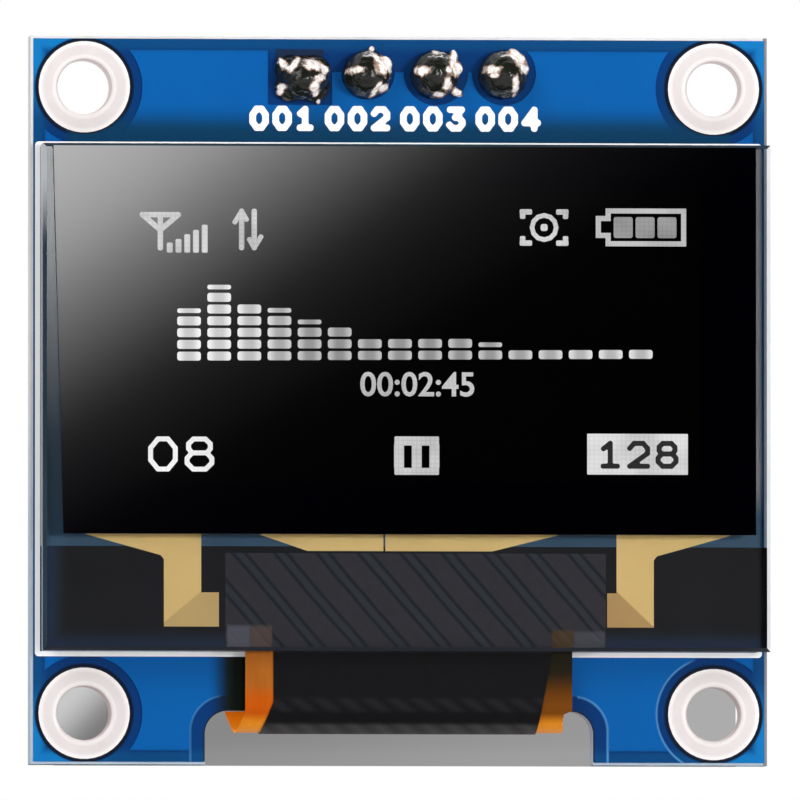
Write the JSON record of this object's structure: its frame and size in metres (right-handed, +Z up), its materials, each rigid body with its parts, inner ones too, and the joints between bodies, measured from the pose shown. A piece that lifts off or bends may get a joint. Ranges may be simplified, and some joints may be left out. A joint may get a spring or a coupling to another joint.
{
  "type": "small oled module",
  "caption": "Small square OLED display module: blue circuit board with corner mounting holes, glass display panel, flex cable folded through a notch, and a soldered pin header.",
  "frame": {"origin": "centre of the pattern of four mounting holes, on the bare board's front face", "axes": "-Y is the way the display faces, +Z is up towards the pin header, +X is to the viewer's right"},
  "size_m": [0.0274, 0.0115, 0.0272],
  "materials": {
    "fr4": "matt glass-fibre laminate",
    "copper": "bare copper foil under the mask",
    "solder_mask": "glossy blue lacquer",
    "tin": "bright tinned plating",
    "solder": "bright, lumpy solder",
    "gold": "thin gold plating",
    "housing": "moulded black plastic",
    "tape": "white adhesive tape",
    "panel_glass": "clear polished glass",
    "seal": "grey epoxy seal",
    "picture": "dark when unlit",
    "polarizer": "glossy black film",
    "lead_gold": "satin gold film",
    "resin": "black sealing resin",
    "silicon": "bare chip",
    "amber_film": "amber polyimide film",
    "cover_film": "black cover layer",
    "capacitor": "tan ceramic with tinned ends",
    "resistor": "black resistive film on ceramic",
    "silkscreen": "white printed ink, on pieces of the visual model",
    "lit_dots": "lit dots of the display, on pieces of the visual model",
    "chip_case": "moulded black epoxy"
  },
  "bodies": {
    "root": {"board_core": "fr4", "front_copper": "copper", "back_copper": "copper", "front_mask": "solder_mask", "back_mask": "solder_mask", "mounting_ring_1": "tin", "mounting_ring_2": "tin", "mounting_ring_3": "tin", "mounting_ring_4": "tin", "pin_barrel_1": "tin", "pin_barrel_2": "tin", "pin_barrel_3": "tin", "pin_barrel_4": "tin", "header_pin_1": "gold", "header_pin_2": "gold", "header_pin_3": "gold", "header_pin_4": "gold", "solder_joint_1": "solder", "solder_joint_2": "solder", "solder_joint_3": "solder", "solder_joint_4": "solder", "header_housing": "housing", "panel_tape": "tape", "rear_glass": "panel_glass", "glass_seal": "seal", "picture_film": "picture", "front_glass": "panel_glass", "polarizer": "polarizer", "lead_left": "lead_gold", "lead_right": "lead_gold", "lead_middle_left": "lead_gold", "lead_middle_right": "lead_gold", "ledge_resin": "resin", "driver_chip": "silicon", "flex_film": "amber_film", "flex_cover": "cover_film", "tail_tape": "tape", "tail_contacts": "solder", "capacitor_1": "capacitor", "capacitor_2": "capacitor", "capacitor_3": "capacitor", "capacitor_4": "capacitor", "capacitor_5": "capacitor", "resistor_1": "resistor", "resistor_2": "resistor", "resistor_3": "resistor", "resistor_4": "resistor", "resistor_5": "resistor", "soldering_pads": "tin", "solder_fillets": "solder", "regulator_body": "chip_case", "regulator_legs": "tin"}
  },
  "joints": []
}
